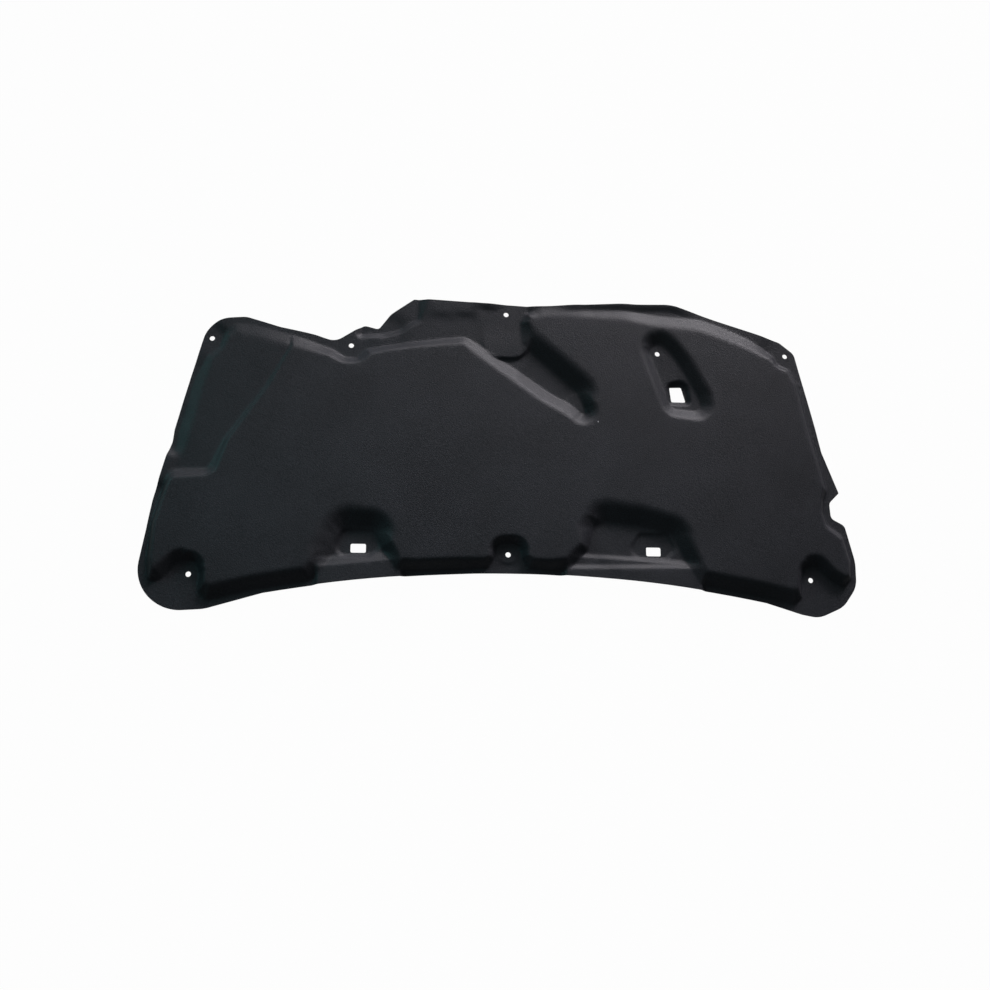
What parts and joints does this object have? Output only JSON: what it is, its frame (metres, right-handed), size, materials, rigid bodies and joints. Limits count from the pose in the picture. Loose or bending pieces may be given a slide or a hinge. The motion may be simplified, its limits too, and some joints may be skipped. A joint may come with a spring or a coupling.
{
  "type": "hood insulation pad",
  "caption": "Press-moulded felt pad that lines the underside of a car bonnet, with a raised body, pressed rim, clip lands, pockets and a valley.",
  "frame": {"origin": "under the middle of the outline's box, on the plane that the pressed rim rests on", "axes": "+X along the width, to the right as seen from the engine side with the front edge away; +Y towards the front edge of the bonnet; +Z towards the engine side, up as it lies"},
  "size_m": [1.3254, 0.6132, 0.027],
  "materials": {
    "black_felt": "matt needled black felt, pressed dense at the rim"
  },
  "bodies": {
    "root": {"hood_insulation_pad": "black_felt"}
  },
  "joints": []
}
